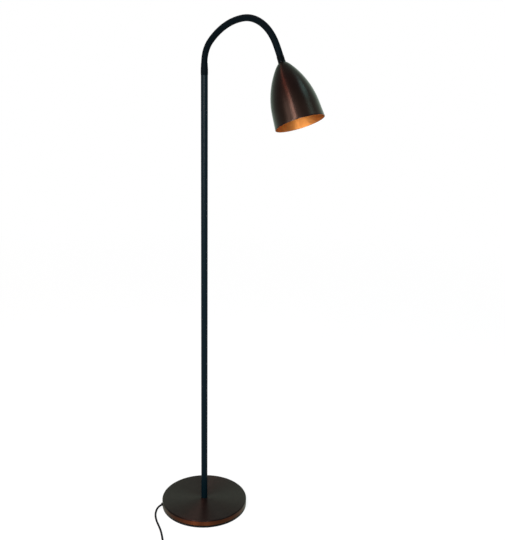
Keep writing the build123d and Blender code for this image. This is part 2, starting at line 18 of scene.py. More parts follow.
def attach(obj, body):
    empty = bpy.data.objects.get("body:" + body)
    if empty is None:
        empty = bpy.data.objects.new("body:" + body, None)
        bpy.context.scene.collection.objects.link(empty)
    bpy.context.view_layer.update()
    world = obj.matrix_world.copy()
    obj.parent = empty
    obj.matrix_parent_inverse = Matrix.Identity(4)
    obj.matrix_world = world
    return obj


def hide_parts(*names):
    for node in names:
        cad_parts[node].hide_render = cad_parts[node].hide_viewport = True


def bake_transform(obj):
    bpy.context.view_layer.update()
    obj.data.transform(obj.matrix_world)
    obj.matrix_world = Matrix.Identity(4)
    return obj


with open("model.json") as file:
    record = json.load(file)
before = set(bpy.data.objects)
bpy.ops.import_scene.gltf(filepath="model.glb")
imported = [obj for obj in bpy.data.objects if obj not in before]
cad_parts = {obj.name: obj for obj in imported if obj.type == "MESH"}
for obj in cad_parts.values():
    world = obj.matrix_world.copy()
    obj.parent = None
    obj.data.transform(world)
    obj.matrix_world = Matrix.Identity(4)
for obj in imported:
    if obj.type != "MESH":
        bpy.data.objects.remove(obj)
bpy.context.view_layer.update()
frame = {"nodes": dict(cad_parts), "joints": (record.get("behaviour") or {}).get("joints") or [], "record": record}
MM = 0.001
nodes = frame["nodes"]
joints = {joint["name"]: joint for joint in frame["joints"]}

# %% [markdown]
# ## The camera
# The photograph looks along the arm's left side from chest height, a little downwards. The
# camera stands where a fit of the lamp's base, pole and shade to the picture put it, with a
# lens that has the same angle of view. The small roll is the tilt of the hand-held camera.

# %% Camera
CAMERA_PLACE = np.array([1.4358, -1.2058, 1.2])
CAMERA_AHEAD = np.array([-0.69445, 0.66039, -0.28569])
CAMERA_ROLL = math.radians(1.01)
LONG_SIDE = 540
FOCAL_PIXELS = 813
SENSOR = 36.0


def aim_camera():
    """Camera whose -Z axis looks along CAMERA_AHEAD, with +X turned by the roll from level. Its
    focal length is FOCAL_PIXELS for a picture that is LONG_SIDE pixels long."""
    ahead = CAMERA_AHEAD / np.linalg.norm(CAMERA_AHEAD)
    level = np.cross(ahead, [0, 0, 1])
    level /= np.linalg.norm(level)
    up = np.cross(level, ahead)
    right = math.cos(CAMERA_ROLL) * level + math.sin(CAMERA_ROLL) * up
    top = np.cross(right, ahead)
    data = bpy.data.cameras.new("camera")
    data.sensor_width = SENSOR
    data.lens = SENSOR * FOCAL_PIXELS / LONG_SIDE
    camera = bpy.data.objects.new("camera", data)
    bpy.context.collection.objects.link(camera)
    turn = Matrix(np.stack([right, top, -ahead], 1).tolist()).to_4x4()
    camera.matrix_world = Matrix.Translation(CAMERA_PLACE.tolist()) @ turn
    bpy.context.scene.camera = camera
    return camera


camera = aim_camera()
print("lens", round(camera.data.lens, 1), "mm")

# %% [markdown]
# ## Surfaces from arrays
# Most pieces here are turned or drawn: a profile goes round an axis, or is carried along a
# line. Both are grids of points worked out as whole arrays, so one function turns a grid into
# a mesh and the others only work out its points.

# %% Grid to mesh
SHARP_EDGE = math.radians(50)


def add_piece(name, mesh, sharp):
    """Object for a mesh, at the origin, shaded smooth but for edges that turn by more than the
    angle sharp."""
    mesh.polygons.foreach_set("use_smooth", np.full(len(mesh.polygons), True))
    mesh.set_sharp_from_angle(angle=sharp)
    piece = bpy.data.objects.new(name, mesh)
    bpy.context.collection.objects.link(piece)
    return piece


def grid_mesh(name, points):
    """Mesh of a grid of points (rows, columns, 3) whose rows and columns both close on
    themselves. The UV map runs 0 to 1 along the rows and round the columns."""
    rows, columns, _ = points.shape
    i, j = np.meshgrid(np.arange(rows), np.arange(columns), indexing="ij")
    here, there, after = i * columns, (i + 1) % rows * columns, (j + 1) % columns
    corners = np.stack([here + j, here + after, there + after, there + j], -1).reshape(-1, 4)
    mesh = bpy.data.meshes.new(name)
    mesh.vertices.add(rows * columns)
    mesh.vertices.foreach_set("co", points.reshape(-1).astype(np.float32))
    mesh.loops.add(corners.size)
    mesh.loops.foreach_set("vertex_index", corners.reshape(-1).astype(np.int32))
    mesh.polygons.add(len(corners))
    mesh.polygons.foreach_set("loop_start", np.arange(0, corners.size, 4, dtype=np.int32))
    u = np.stack([i, i, i + 1, i + 1], -1) / rows
    v = np.stack([j, j + 1, j + 1, j], -1) / columns
    share = np.stack([u, v], -1).reshape(-1).astype(np.float32)
    mesh.uv_layers.new(name="UVMap").data.foreach_set("uv", share)
    mesh.update(calc_edges=True)
    mesh.validate()
    return mesh


print("edges sharper than", round(math.degrees(SHARP_EDGE)), "degrees stay sharp")

# %% [markdown]
# ## Turned pieces
# Base, pole, collar and shade are round about one axis, so each is its own section turned about
# it. Rounded corners belong to the section: an edge of pressed sheet catches the light along
# its whole curve, which a sharp corner can't.

# %% Profiles to pieces


def turned_piece(name, profile, around, place=Matrix.Identity(4)):
    """Closed profile of (radius, height) in metres turned about Z, then put in place. Point
    (i, j) is the profile's point i at the angle 2 pi j / around. The profile runs so that the
    outside is on its right-hand side, going up."""
    angle = np.linspace(0, 2 * np.pi, around, endpoint=False)
    radius, height = profile[:, :1], np.broadcast_to(profile[:, 1:], (len(profile), around))
    points = np.stack([radius * np.cos(angle), radius * np.sin(angle), height], -1)
    points = points @ np.array(place.to_3x3()).T + np.array(place.translation)
    return add_piece(name, grid_mesh(name, points), SHARP_EDGE)


def rounded(corners, radii, steps):
    """Closed outline of (radius, height) points with each corner replaced by a small arc of its
    own radius, where 0 leaves it sharp. The arc's centre lies on the corner's bisector, at
    radius / sin(half the corner's angle)."""
    corners = np.asarray(corners, float)
    out = []
    for k, here in enumerate(corners):
        if radii[k] == 0:
            out.append(here[None])
            continue
        before, after = corners[k - 1] - here, corners[(k + 1) % len(corners)] - here
        a, b = before / np.linalg.norm(before), after / np.linalg.norm(after)
        half = math.acos(np.clip(a @ b, -1, 1)) / 2
        reach = radii[k] / math.tan(half)
        centre = here + (a + b) / np.linalg.norm(a + b) * radii[k] / math.sin(half)
        start, end = here + a * reach - centre, here + b * reach - centre
        sweep = math.atan2(start[0] * end[1] - start[1] * end[0], start @ end)
        t = np.linspace(0, sweep, steps)[:, None]
        out.append(centre + start * np.cos(t) + np.array([-start[1], start[0]]) * np.sin(t))
    return np.concatenate(out)


example = rounded([(2, 0), (2, 1), (1, 1), (1, 0)], [0, 0.2, 0, 0], steps=4)
print("square with one rounded corner:", len(example), "points")

# %% [markdown]
# ## Materials, step by step
# A colour is written as the hex value that it has on a screen, and one function makes it
# linear. One more function adds a node, sets it and links it.

# %% Colour and nodes


def linear(hex_colour):
    """Screen colour #rrggbb as linear RGBA: each channel c is c / 12.92 up to 0.04045, else
    ((c + 0.055) / 1.055) to the power 2.4."""
    c = np.array([int(hex_colour[i:i + 2], 16) for i in (1, 3, 5)]) / 255
    return (*np.where(c <= 0.04045, c / 12.92, ((c + 0.055) / 1.055) ** 2.4).tolist(), 1.0)


def add_node(tree, kind, settings=None, **inputs):
    """Node of a kind with its settings. An input is a value, or another node's socket. It is
    named as the node names it, with _ for a space, or by its number, as in i0."""
    node = tree.nodes.new("ShaderNode" + kind)
    for key, value in (settings or {}).items():
        setattr(node, key, value)
    for key, value in inputs.items():
        by_number = key[0] == "i" and key[1:].isdigit()
        socket = node.inputs[int(key[1:]) if by_number else key.replace("_", " ")]
        if isinstance(value, bpy.types.NodeSocket):
            tree.links.new(value, socket)
        else:
            socket.default_value = value
    return node


def new_material(name, **shader):
    """Material with a Principled shader whose sockets are set, its tree and that shader."""
    material = bpy.data.materials.new(name)
    material.use_nodes = True
    tree = material.node_tree
    principled = next(n for n in tree.nodes if n.type == "BSDF_PRINCIPLED")
    for key, value in shader.items():
        principled.inputs[key.replace("_", " ")].default_value = value
    return material, tree, principled


print("example colour", [round(v, 3) for v in linear("#808080")])

# %% [markdown]
# ## Patterns in gloss and relief
# Nothing real has one even gloss. Most finishes here are soft clouds in the gloss over a grain
# in the relief, so one function joins such patterns to the shader and one more makes the two
# together. A material is named for its finish, and its comment says what that does to light.

# %% Finishes made of patterns


def join_look(tree, shader, gloss=None, relief=None, colour=None):
    """Join patterns to a shader. gloss is (pattern, roughness at its 0, roughness at its 1),
    relief is (pattern, strength of the bump, its height in mm), and colour is a socket."""
    if gloss:
        pattern, low, high = gloss
        spread = add_node(tree, "MapRange", i0=pattern, i3=low, i4=high)
        tree.links.new(spread.outputs["Result"], shader.inputs["Roughness"])
    if relief:
        pattern, strength, height = relief
        bump = add_node(tree, "Bump", Strength=strength, Distance=height * MM, Height=pattern)
        tree.links.new(bump.outputs["Normal"], shader.inputs["Normal"])
    if colour:
        tree.links.new(colour, shader.inputs["Base Color"])


def grained(name, clouds, gloss, grain, relief, **shader):
    """Material with clouds in its gloss and a grain in its relief. clouds and grain are (size in
    mm, detail) of a noise, gloss is (low, high) roughness and relief is (strength, height in
    mm) of the bump."""
    material, tree, principled = new_material(name, **shader)
    place = add_node(tree, "TexCoord").outputs["Object"]
    cloud, fine = (
        add_node(tree, "TexNoise", Vector=place, Scale=1 / (size * MM), Detail=detail).outputs["Fac"]
        for size, detail in (clouds, grain)
    )
    join_look(tree, principled, gloss=(cloud, *gloss), relief=(fine, *relief))
    return material


def give(piece, material):
    """Put one material on every face of a piece."""
    piece.data.materials.clear()
    piece.data.materials.append(material)
    return piece


def moulded_rubber(name, hex_colour, grain_mm, roughness):
    """Moulded rubber: cloudy bloom over 12 mm in the gloss, and the mould's grain as bump."""
    return grained(
        name, (12, 3.0), (roughness - 0.08, roughness + 0.1), (grain_mm, 2.0), (0.4, 0.08),
        Base_Color=linear(hex_colour), Specular_IOR_Level=0.3,
    )


pad_rubber = moulded_rubber("base_pad_rubber", "#08090b", 0.8, 0.75)
relief_rubber = moulded_rubber("relief_rubber", "#0e0f11", 0.5, 0.6)
print("first finishes", pad_rubber.name, relief_rubber.name)

# %% [markdown]
# ## The cord
# The cord leaves the base through a rubber grommet at its rear left, drops to the floor in a
# soft bend and runs out of the picture past the base. Out of view it carries an in-line
# switch, then lies in a round coil as for storage, and ends in its plug. A NURBS curve of
# order 3 turns the listed points into one smooth line. The coil's turns are points of the
# same line, worked out as arrays. The jacket is extruded PVC: matt, with a wide dull sheen, and
# nothing finer to see than the faint waviness of the extrusion.

# %% Route of the cord
CORD_DIAMETER = 5.0
CORD_ROUTE = [
    (-61.0, -72.0, 7.4), (-61.0, -98.0, 7.4), (-58.6, -109.5, 4.6), (-51.8, -119.0, 2.6),
    (-41.5, -128.5, 2.5), (-28.5, -137.0, 2.5), (-14.0, -144.6, 2.5), (3.0, -151.4, 2.5),
    (21.0, -159.2, 2.5), (39.0, -169.0, 2.5), (55.5, -179.4, 2.8), (69.0, -187.4, 4.4),
    (81.0, -191.8, 6.6), (92.7, -194.3, 7.5),
]
SWITCH_HEADING = math.radians(-12)
SWITCH_LENGTH = 58.0
MOUTH_HEIGHT, DIP_HEIGHT = 7.5, 4.8
RELIEF_LENGTH = 20.1
COIL_CENTRE = np.array([233.5, -182.6])
COIL_OUTER_RADIUS = 34.0
COIL_PITCH = CORD_DIAMETER + 0.55
COIL_LAYERS = 4
LAYER_TURNS, REVERSAL_TURNS = 1.875, 0.5
POINTS_PER_TURN = 16


def switch_points():
    """Points through the switch: in and out at its mouths, and lower in between, so that the
    cord stays clear of the rocker."""
    ahead = np.array([math.cos(SWITCH_HEADING), math.sin(SWITCH_HEADING)])
    back = np.array(CORD_ROUTE[-1][:2]) + ahead * RELIEF_LENGTH
    share = np.array([0, 0.25, 0.75, 1, 1 + RELIEF_LENGTH / SWITCH_LENGTH])
    height = [MOUTH_HEIGHT, DIP_HEIGHT, DIP_HEIGHT, MOUTH_HEIGHT, MOUTH_HEIGHT]
    return np.c_[back + ahead * SWITCH_LENGTH * share[:, None], height]


def coil_points():
    """Points of the coil. After u turns the radius has fallen or risen by one pitch per turn
    since its last reversal, and each half turn in which it reverses lifts it by one pitch."""
    period = LAYER_TURNS + REVERSAL_TURNS
    last = COIL_LAYERS * period - REVERSAL_TURNS
    u = np.linspace(0, last, round(last * POINTS_PER_TURN) + 1)
    reversal = LAYER_TURNS + REVERSAL_TURNS / 2
    layer = np.where(u <= reversal, 0, (u - reversal) // period + 1)
    since = u - reversal - (layer - 1) * period
    later = np.where(layer % 2 == 1, reversal - since, reversal - period + since)
    radius = COIL_OUTER_RADIUS - COIL_PITCH * np.where(layer == 0, u, later)
    starts = LAYER_TURNS + period * np.arange(COIL_LAYERS - 1)
    climbs = np.clip((u[:, None] - starts) / REVERSAL_TURNS, 0, 1)
    rise = ((1 - np.cos(np.pi * climbs)) / 2).sum(axis=1)
    angle = 2 * np.pi * u - np.pi / 2
    flat = COIL_CENTRE + radius[:, None] * np.stack([np.cos(angle), np.sin(angle)], 1)
    return np.c_[flat, CORD_DIAMETER / 2 + COIL_PITCH * rise]


turns = coil_points()
print("coil points", len(turns), "first", turns[0].round(1), "last", turns[-1].round(1))

# %% Make the cord
AFTER_SWITCH = np.array([(9.0, -1.9, -0.7), (18.5, -3.3, -3.1)])
BEFORE_COIL = np.array([(-13.0, 0, 0), (-5.0, 0, 0)])
AFTER_COIL = np.array([(5, 0, 0), (15, 0, 0), (28, 1, -4), (41, 2.6, -9.6)])
TO_PLUG = np.array([(53, 4.6), (63, 6.6), (78, 9.6)])
PLUG_HEIGHT = 6.5


def whole_route():
    """All points of the cord, from inside the base to the back of the plug. The steps round the
    coil start from its first and last points."""
    through, first, last = switch_points(), turns[0], turns[-1]
    tail = np.c_[last[:2] + TO_PLUG, np.full(len(TO_PLUG), PLUG_HEIGHT)]
    return np.concatenate([
        CORD_ROUTE, through, through[-1] + AFTER_SWITCH, first + BEFORE_COIL, turns,
        last + AFTER_COIL, tail,
    ])


def nurbs_cord(name, points, diameter):
    """Curve of one open NURBS spline of order 3 through control points in metres."""
    data = bpy.data.curves.new(name, "CURVE")
    data.dimensions = "3D"
    data.bevel_depth = diameter / 2
    data.bevel_resolution = 4
    data.resolution_u = 6
    data.use_fill_caps = True
    spline = data.splines.new("NURBS")
    spline.points.add(len(points) - 1)
    spline.points.foreach_set("co", np.c_[points, np.ones(len(points))].reshape(-1))
    spline.order_u = 3
    spline.use_endpoint_u = True
    piece = bpy.data.objects.new(name, data)
    bpy.context.collection.objects.link(piece)
    return piece


# Extruded PVC, matt black: waviness about 4 mm long in the sheen, grain of 0.4 mm in the bump.
jacket = grained(
    "extruded_pvc_jacket", (4, 2.0), (0.42, 0.6), (0.4, 1.0), (0.25, 0.05),
    Base_Color=linear("#020306"), Specular_IOR_Level=0.04,
)
cord = give(nurbs_cord("mains_cord", whole_route() * MM, CORD_DIAMETER * MM), jacket)
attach(cord, "stand")
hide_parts("cord_lead", "cord_link", "cord_coil", "cord_tail")
print("cord points", len(cord.data.splines[0].points))

# %% [markdown]
# ## The gooseneck's line
# The neck rises out of the collar, curls over in four arcs that run into each other and ends
# straight in the shade. Its sleeve is one soft tube on the real lamp. Here it is cut at every
# second bend, so that every piece crosses exactly one bend between its cuts.

# %% The neck's centreline
NECK_START = 1123.0
ARC_LENGTHS = np.array([52.0, 119.0, 117.0, 27.0])
ARC_TURNS = np.radians([46.5, 37.0, 66.0, 5.0])
SLEEVE_RADIUS = 7.1
SLEEVE_WALL = 1.35
SLEEVE_FOOT = -5.0
SLEEVE_SIDES = 48
SLEEVE_SHARP_EDGE = math.radians(40)
FIRST_BEND, LAST_BEND = 12.0, 26.0
FERRULE_LENGTH = 12.0
BENDS = 8
NECK_LENGTH = ARC_LENGTHS.sum() + FERRULE_LENGTH


def neck_at(s):
    """Points and headings (from straight up towards +X) at distances s, in millimetres. On an
    arc of curvature k the point moves by ((cos h0 - cos h1) / k, (sin h1 - sin h0) / k)."""
    s = np.atleast_1d(np.asarray(s, float))
    x, z, heading = np.zeros_like(s), NECK_START + np.minimum(s, 0), np.zeros_like(s)
    left = np.maximum(s, 0)
    for length, turn in zip(ARC_LENGTHS, ARC_TURNS):
        run, rate = np.minimum(left, length), turn / length
        ahead = heading + rate * run
        x = x + (np.cos(heading) - np.cos(ahead)) / rate
        z = z + (np.sin(ahead) - np.sin(heading)) / rate
        heading, left = ahead, left - run
    x, z = x + left * np.sin(heading), z + left * np.cos(heading)
    return np.stack([x, np.zeros_like(x), z], 1), heading


def drawn_tube(name, stations, outer, inner):
    """Tube along the neck. stations are distances, and outer and inner are radii, as numbers or
    arrays. The ring at a station is centre + r (cos a Y + sin a B), where B = heading x Y."""
    centre, heading = neck_at(stations)
    side = np.stack([-np.cos(heading), np.zeros_like(heading), np.sin(heading)], 1)
    angle = np.linspace(0, 2 * np.pi, SLEEVE_SIDES, endpoint=False)[:, None]
    circle = np.cos(angle) * np.array([0, 1.0, 0]) + np.sin(angle) * side[:, None]
    outside, inside = (
        centre[:, None] + np.broadcast_to(radius, len(stations))[:, None, None] * circle
        for radius in (outer, inner)
    )
    points = np.concatenate([outside, inside[::-1]]) * MM
    return add_piece(name, grid_mesh(name, points), SLEEVE_SHARP_EDGE)


bend_places = np.linspace(FIRST_BEND, NECK_LENGTH - LAST_BEND, BENDS)
bend_points, _ = neck_at(bend_places)
joint_points = np.array([joints[f"neck_bend_{k + 1}"]["pos_m"] for k in range(BENDS)]) / MM
drift = np.abs(bend_points - joint_points).max()
print("bends at", bend_places.round(1), "largest distance from the joints", round(drift, 3), "mm")

# %% [markdown]
# ## The neck's sleeve
# The sleeve is soft PVC over a wound steel hose, dull and nearly black, with a faint bluish
# bloom. The first piece rides the stand; the others are made in place at rest and ride no
# body. At a cut, each piece runs 2 mm on inside its neighbour.

# %% Finish and pieces of the sleeve
LAP, LAP_DRAW = 2.0, 0.1
STATION_STEP = 1.5


def sleeve_piece(k, start, end):
    """Piece of the sleeve from one cut to the next. Each end that meets a neighbour runs on by
    LAP and is drawn in by LAP_DRAW there, so that it lies inside."""
    count = math.ceil((end - start) / STATION_STEP) + 1
    stations, outer = np.linspace(start, end, count), np.full(count, SLEEVE_RADIUS)
    if k > 0:
        stations, outer = np.r_[start - LAP, stations], np.r_[SLEEVE_RADIUS - LAP_DRAW, outer]
    if k < BENDS // 2:
        stations, outer = np.r_[stations, end + LAP], np.r_[outer, SLEEVE_RADIUS - LAP_DRAW]
    return drawn_tube(f"sleeve_piece_{k}", stations, outer, SLEEVE_RADIUS - SLEEVE_WALL)


# Soft-touch PVC, dull: bloom over 15 mm in the gloss, fine grain of 0.6 mm in the bump.
sleeve_finish = grained(
    "soft_touch_sleeve", (15, 3.0), (0.5, 0.68), (0.6, 2.0), (0.3, 0.06),
    Base_Color=linear("#010508"), Specular_IOR_Level=0.02,
)
cuts = [SLEEVE_FOOT, *bend_places[::2], NECK_LENGTH - FERRULE_LENGTH]
for k, (start, end) in enumerate(zip(cuts, cuts[1:])):
    piece = give(sleeve_piece(k, start, end), sleeve_finish)
    if k == 0:
        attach(piece, "stand")
        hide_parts("neck_sleeve_0")
    else:
        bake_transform(piece)
        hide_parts(f"neck_sleeve_{2 * k - 1}", f"neck_sleeve_{2 * k}")
print("sleeve pieces", len(cuts) - 1)

# %% [markdown]
# ## Pole and collar
# The pole is drawn steel tube under black lacquer. Lacquer flows out before it dries, so it
# reflects sharply along the tube, with a very slight orange peel. The collar is a shrunk-on
# sleeve, as dull as the neck's own. It hides the step from the pole to the thinner neck. Both
# are turned, and the collar's section eases from one radius to the other, as shrunk sleeve does.

# %% Pole and collar
POLE_RADIUS, POLE_WALL = 8.0, 1.2
POLE_FOOT, POLE_TOP = 20.0, 1104.0
POLE_RINGS, POLE_SIDES = 25, 96
COLLAR_FOOT, COLLAR_TOP = 1097.0, 1123.0
COLLAR_GAP, COLLAR_WALL, COLLAR_LIP = 0.05, 0.25, 0.3
COLLAR_STEPS, COLLAR_RISE, COLLAR_SEAT = 14, 1.5, 4.0
END_FLAT, FOOT_CHAMFER, TOP_CHAMFER = 0.6, 0.4, 0.1


def pole_piece():
    """Turned tube from the base's top to the neck's foot, in short lengths, with its ends
    closed."""
    heights = np.linspace(POLE_FOOT, POLE_TOP, POLE_RINGS)
    outside = np.stack([np.full(POLE_RINGS, POLE_RADIUS), heights], 1)
    inside = np.stack([np.full(POLE_RINGS, POLE_RADIUS - POLE_WALL), heights[::-1]], 1)
    return turned_piece("pole_tube", np.concatenate([outside, inside]) * MM, POLE_SIDES)


def collar_piece():
    """Thin shrunk sleeve: straight over the pole, drawn in over the step to the neck by the
    ease t t (3 - 2 t). Its ends are flat over END_FLAT of the wall and chamfered outside."""
    low, high = POLE_RADIUS + COLLAR_GAP, SLEEVE_RADIUS + COLLAR_GAP * 3
    wide, narrow = low + COLLAR_WALL, high + COLLAR_LIP
    shoulder = POLE_TOP + COLLAR_RISE
    t = np.linspace(0, 1, COLLAR_STEPS)
    ease = t * t * (3 - 2 * t)
    rise = (COLLAR_TOP - TOP_CHAMFER - shoulder) * t
    slope = np.stack([wide - (wide - narrow) * ease, shoulder + rise], 1)
    foot_flat, lip_flat = low + COLLAR_WALL * END_FLAT, high + COLLAR_LIP * END_FLAT
    foot = [(low, COLLAR_FOOT), (foot_flat, COLLAR_FOOT), (wide, COLLAR_FOOT + FOOT_CHAMFER)]
    lip = [(lip_flat, COLLAR_TOP), (high, COLLAR_TOP)]
    inside = [(high, shoulder + COLLAR_SEAT), (low, shoulder)]
    outline = np.concatenate([foot, slope, lip, inside])
    return turned_piece("pole_collar_sleeve", outline * MM, POLE_SIDES)


# Stoved black lacquer on steel, glossy: orange peel about 3 mm across in the bump, and a film
# of dust that changes the gloss over 40 mm.
lacquer = grained(
    "stoved_black_lacquer", (40, 4.0), (0.24, 0.36), (3, 1.0), (0.12, 0.05),
    Base_Color=linear("#020b10"), Specular_IOR_Level=0.042,
)
pole = give(pole_piece(), lacquer)
collar = give(collar_piece(), sleeve_finish)
for piece, node, slot in ((pole, "pole", "pole_paint"), (collar, "pole_collar", "collar_plastic")):
    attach(piece, "stand")
    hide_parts(node)
print("pole from", POLE_FOOT, "to", POLE_TOP, "mm")

# %% [markdown]
# ## Oxide bronze
# Base and shade are spun steel under an oxide bronze lacquer. Spinning leaves very fine marks
# that run round the axis, and the oxide is cloudy. Each piece's colour also changes with height:
# partly the bronze's own copper, partly painted shade and painted reflection, as the base and
# shade cells say. The finish is worked out in the turned piece's own frame: its distance from the
# axis and its height along it.

# %% A spun piece's own frame
MARK_SPACING, GOLD_MARK_SPACING = 0.7, 1.0


def turned_frame(tree, place):
    """Sockets of the point in the turned piece's own frame, of its distance from the axis and
    of its height along it, in metres. The axis is the Z axis of place."""
    coordinates = add_node(tree, "TexCoord").outputs["Object"]
    local = add_node(
        tree, "Mapping", {"vector_type": "TEXTURE"}, Vector=coordinates,
        Location=tuple(place.translation), Rotation=tuple(place.to_euler()),
    ).outputs["Vector"]
    flat = add_node(tree, "VectorMath", {"operation": "MULTIPLY"}, i0=local, i1=(1.0, 1.0, 0.0))
    reach = add_node(tree, "VectorMath", {"operation": "LENGTH"}, i0=flat.outputs["Vector"])
    height = add_node(tree, "SeparateXYZ", Vector=local)
    return local, reach.outputs["Value"], height.outputs["Z"]


def spun_marks(tree, reach, height, spacing_mm):
    """Noise that is the same all the way round: fine marks this far apart."""
    profile = add_node(tree, "CombineXYZ", X=reach, Y=height).outputs["Vector"]
    marks = add_node(tree, "TexNoise", Vector=profile, Scale=1 / (spacing_mm * MM), Detail=2.0)
    return marks.outputs["Fac"]


print("spun marks", MARK_SPACING, "mm apart outside and", GOLD_MARK_SPACING, "mm inside")

# %% Oxide bronze


def oxide_bronze(name, place, top, colours, roughness=(0.26, 0.36), smear=0.75):
    """Spun steel under oxide bronze. The colour goes through the given ramp up to the height
    top (mm) along the axis, and clouds about 18 mm across make it darker or lighter. The marks
    run round the axis, so gloss spreads across them by smear, along the profile, which is the U
    direction. A thin clear coat adds a neutral grey. The tint of the metal's edges turns
    grazing light faintly green."""
    material, tree, shader = new_material(
        name, Metallic=1.0, Anisotropic=smear, Specular_Tint=linear("#f0fff4"), Coat_Weight=0.05,
        Coat_Roughness=0.3, Coat_IOR=1.5,
    )
    local, reach, height = turned_frame(tree, place)
    # The ramp sets the colour by height. The ramps passed for base and shade hold painted shade and painted
    # reflection beside the bronze's own colour.
    along = add_node(tree, "MapRange", i0=height, i2=top * MM)
    ramp = add_node(tree, "ValToRGB", Fac=along.outputs["Result"])
    stops = ramp.color_ramp.elements
    while len(stops) < len(colours):
        stops.new(0.5)
    for stop, (share, colour) in zip(stops, colours):
        stop.position, stop.color = share, linear(colour)
    cloud = add_node(tree, "TexNoise", Vector=local, Scale=1 / (18 * MM), Detail=4.0, Roughness=0.6)
    depth = add_node(tree, "MapRange", i0=cloud.outputs["Fac"], i1=0.3, i2=0.7, i3=0.85, i4=1.12)
    tint = add_node(
        tree, "MixRGB", {"blend_type": "MULTIPLY"}, Fac=1.0, Color1=ramp.outputs["Color"],
        Color2=depth.outputs["Result"],
    )
    marks = spun_marks(tree, reach, height, MARK_SPACING)
    across = add_node(tree, "Tangent", {"direction_type": "UV_MAP", "uv_map": "UVMap"})
    tree.links.new(across.outputs["Tangent"], shader.inputs["Tangent"])
    join_look(
        tree, shader, gloss=(marks, *roughness), relief=(marks, 0.1, 0.02), colour=tint.outputs["Color"]
    )
    return material


BASE_RADIUS, BASE_FOOT, BASE_TOP = 109.5, 3.0, 20.0
# Colour by height on the cap, in shares of BASE_TOP. The black up to 0.3 is painted shadow where the base meets
# the floor, together with the pad's dark band. The copper stops are the bronze's own copper, made lighter than the
# top by painted reflection of the bright floor in front. The nearly black stop at 0.9 is painted shade on the
# rounded edge.
BASE_COLOURS_AND_PAINTED_SHADE = [
    (0.0, "#040506"), (0.3, "#040506"), (0.33, "#42210f"), (0.8, "#3d1e0f"), (0.9, "#0d0707"),
    (1.0, "#201513"),
]
base_bronze = oxide_bronze(
    "oxide_bronze_base_with_painted_shade", Matrix.Identity(4), BASE_TOP, BASE_COLOURS_AND_PAINTED_SHADE, roughness=(0.38, 0.5), smear=0.88
)
print("base finish", base_bronze.name)

# %% [markdown]
# ## Base
# A pressed cap with a rounded edge goes over an iron weight, on a rubber pad of nearly the same
# size. Its colour goes by height: a black foot, a copper brown side, a nearly black band on the
# edge and a dark brown top. The black foot is painted shadow where the base meets the floor,
# together with the pad's dark band. The nearly black band is painted shade on the rounded edge.
# The side is the bronze's own copper, made lighter than the top by painted reflection of the
# bright floor in front. It is turned from its outline here, so that the gloss can spread across
# its spun marks. The cord's grommet comes through its wall.

# %% Base
BASE_EDGE, BASE_WALL, BASE_HOLE = 3.0, 1.2, 5.2
SHEET_EDGE, EDGE_STEPS = 0.25, 9
TURNED_SIDES = 192


def cap_piece():
    """Cap of the base: its outline is the section of the pressed sheet, with its edge rounded
    outside by BASE_EDGE and inside by BASE_EDGE less the wall."""
    inner, ceiling = BASE_RADIUS - BASE_WALL, BASE_TOP - BASE_WALL
    corners = [
        (BASE_RADIUS, BASE_FOOT), (BASE_RADIUS, BASE_TOP), (BASE_HOLE, BASE_TOP), (BASE_HOLE, ceiling),
        (inner, ceiling), (inner, BASE_FOOT),
    ]
    radii = [SHEET_EDGE, BASE_EDGE, 0, 0, BASE_EDGE - BASE_WALL, SHEET_EDGE]
    return turned_piece("base_cap", rounded(corners, radii, EDGE_STEPS) * MM, TURNED_SIDES)


cap = give(cap_piece(), base_bronze)
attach(cap, "stand")
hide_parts("base_cover")
give(nodes["base_pad"], pad_rubber)
give(nodes["cord_grommet"], relief_rubber)
print("base cap radius", BASE_RADIUS, "height", BASE_TOP)

# %% [markdown]
# ## Shade
# The shade is a bell spun from one disc. Its outline is a short ring round the neck, a flat
# step, a short cone, one long arc and a nearly straight lip. It is bronze outside and gold
# inside, so it is made as two skins that meet at the rim, where the bronze folds round the
# edge. The ring and step are black, like the neck that they meet.

# %% Outline of the shade
HEAD_POINT, HEAD_HEADING = (value[0] for value in neck_at([NECK_LENGTH]))
SHADE_LENGTH, RIM_RADIUS, SHADE_WALL = 131.0, 52.0, 0.8
BRONZE_DEPTH, GOLD_DEPTH = SHADE_WALL * 0.5, SHADE_WALL * 0.55
LIP_LENGTH, LIP_ANGLE = 31.0, math.radians(4.5)
SHOULDER = np.array([15.0, 9.5])
NECK_RING = [
    (8.0, 0), (8.0, 1.6), (8.0, 3.0), (8.35, 3.7), (9.1, 3.95), (9.9, 4.2), (10.55, 4.6), (11.1, 5.2),
]
RIM_FOLD = np.array([(-0.12, 0.25), (-0.4, 0.32)])
HOLE_RADIUS = 5.05
CONE_STEPS, ARC_STEPS, LIP_STEPS = 6, 60, 12


def bell_line():
    """Outer line of the shade in (radius, depth), from the top down to the rim. The arc starts
    at the lip's upper end along the lip and ends at the shoulder: its radius is
    |B - A|^2 / (2 (B - A) . n), with n square to the lip."""
    lip_top = np.array([RIM_RADIUS - LIP_LENGTH * math.tan(LIP_ANGLE), SHADE_LENGTH - LIP_LENGTH])
    n = np.array([-math.cos(LIP_ANGLE), math.sin(LIP_ANGLE)])
    chord = SHOULDER - lip_top
    radius = chord @ chord / (2 * chord @ n)
    centre = lip_top + n * radius
    a, b = SHOULDER - centre, lip_top - centre
    angle = np.linspace(math.atan2(a[1], a[0]), math.atan2(b[1], b[0]), ARC_STEPS)
    arc = centre + radius * np.stack([np.cos(angle), np.sin(angle)], 1)
    cone = np.linspace(NECK_RING[-1], SHOULDER, CONE_STEPS)[1:-1]
    lip = np.linspace(lip_top, [RIM_RADIUS, SHADE_LENGTH], LIP_STEPS)[1:]
    return np.concatenate([NECK_RING, cone, arc, lip])


